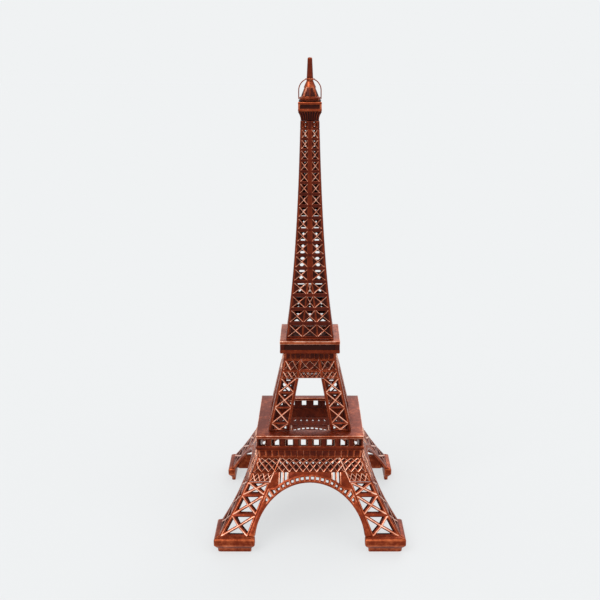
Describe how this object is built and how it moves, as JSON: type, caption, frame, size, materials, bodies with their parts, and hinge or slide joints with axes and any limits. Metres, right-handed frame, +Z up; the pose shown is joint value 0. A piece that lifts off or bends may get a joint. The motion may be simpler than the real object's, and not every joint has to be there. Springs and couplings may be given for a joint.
{
  "type": "miniature lattice tower souvenir",
  "caption": "Tall tapering lattice tower model in antique copper, with splayed arched legs, a pierced gallery, open platforms, a latticed spire, a domed lantern and a short mast.",
  "frame": {"origin": "on the surface it stands on, at the middle of the four feet", "axes": "+Z up along the mast, +X and +Y square to the tower's sides, the front is -Y"},
  "size_m": [0.1284, 0.1284, 0.32],
  "materials": {
    "antique_copper": "antique copper plate, dark in the recesses and rubbed bright on the ribs, under clear lacquer",
    "dark_copper": "antique copper plate, mostly dark patina, under clear lacquer",
    "rubbed_copper": "antique copper plate, rubbed brighter on the flat top, under clear lacquer"
  },
  "bodies": {
    "root": {"lower_panel_front": "antique_copper", "lower_panel_right": "antique_copper", "lower_panel_back": "antique_copper", "lower_panel_left": "antique_copper", "gallery_wall_front": "dark_copper", "gallery_wall_right": "dark_copper", "gallery_wall_back": "dark_copper", "gallery_wall_left": "dark_copper", "first_platform": "rubbed_copper", "middle_panel_front": "antique_copper", "middle_panel_right": "antique_copper", "middle_panel_back": "antique_copper", "middle_panel_left": "antique_copper", "second_floor_box": "dark_copper", "second_floor_tray": "rubbed_copper", "spire_panel_front": "antique_copper", "spire_panel_right": "antique_copper", "spire_panel_back": "antique_copper", "spire_panel_left": "antique_copper", "spire_cornice": "dark_copper", "cabin": "antique_copper", "lantern_drum": "antique_copper", "lantern_bell": "rubbed_copper", "lantern_hoops": "antique_copper", "mast": "antique_copper"}
  },
  "joints": []
}
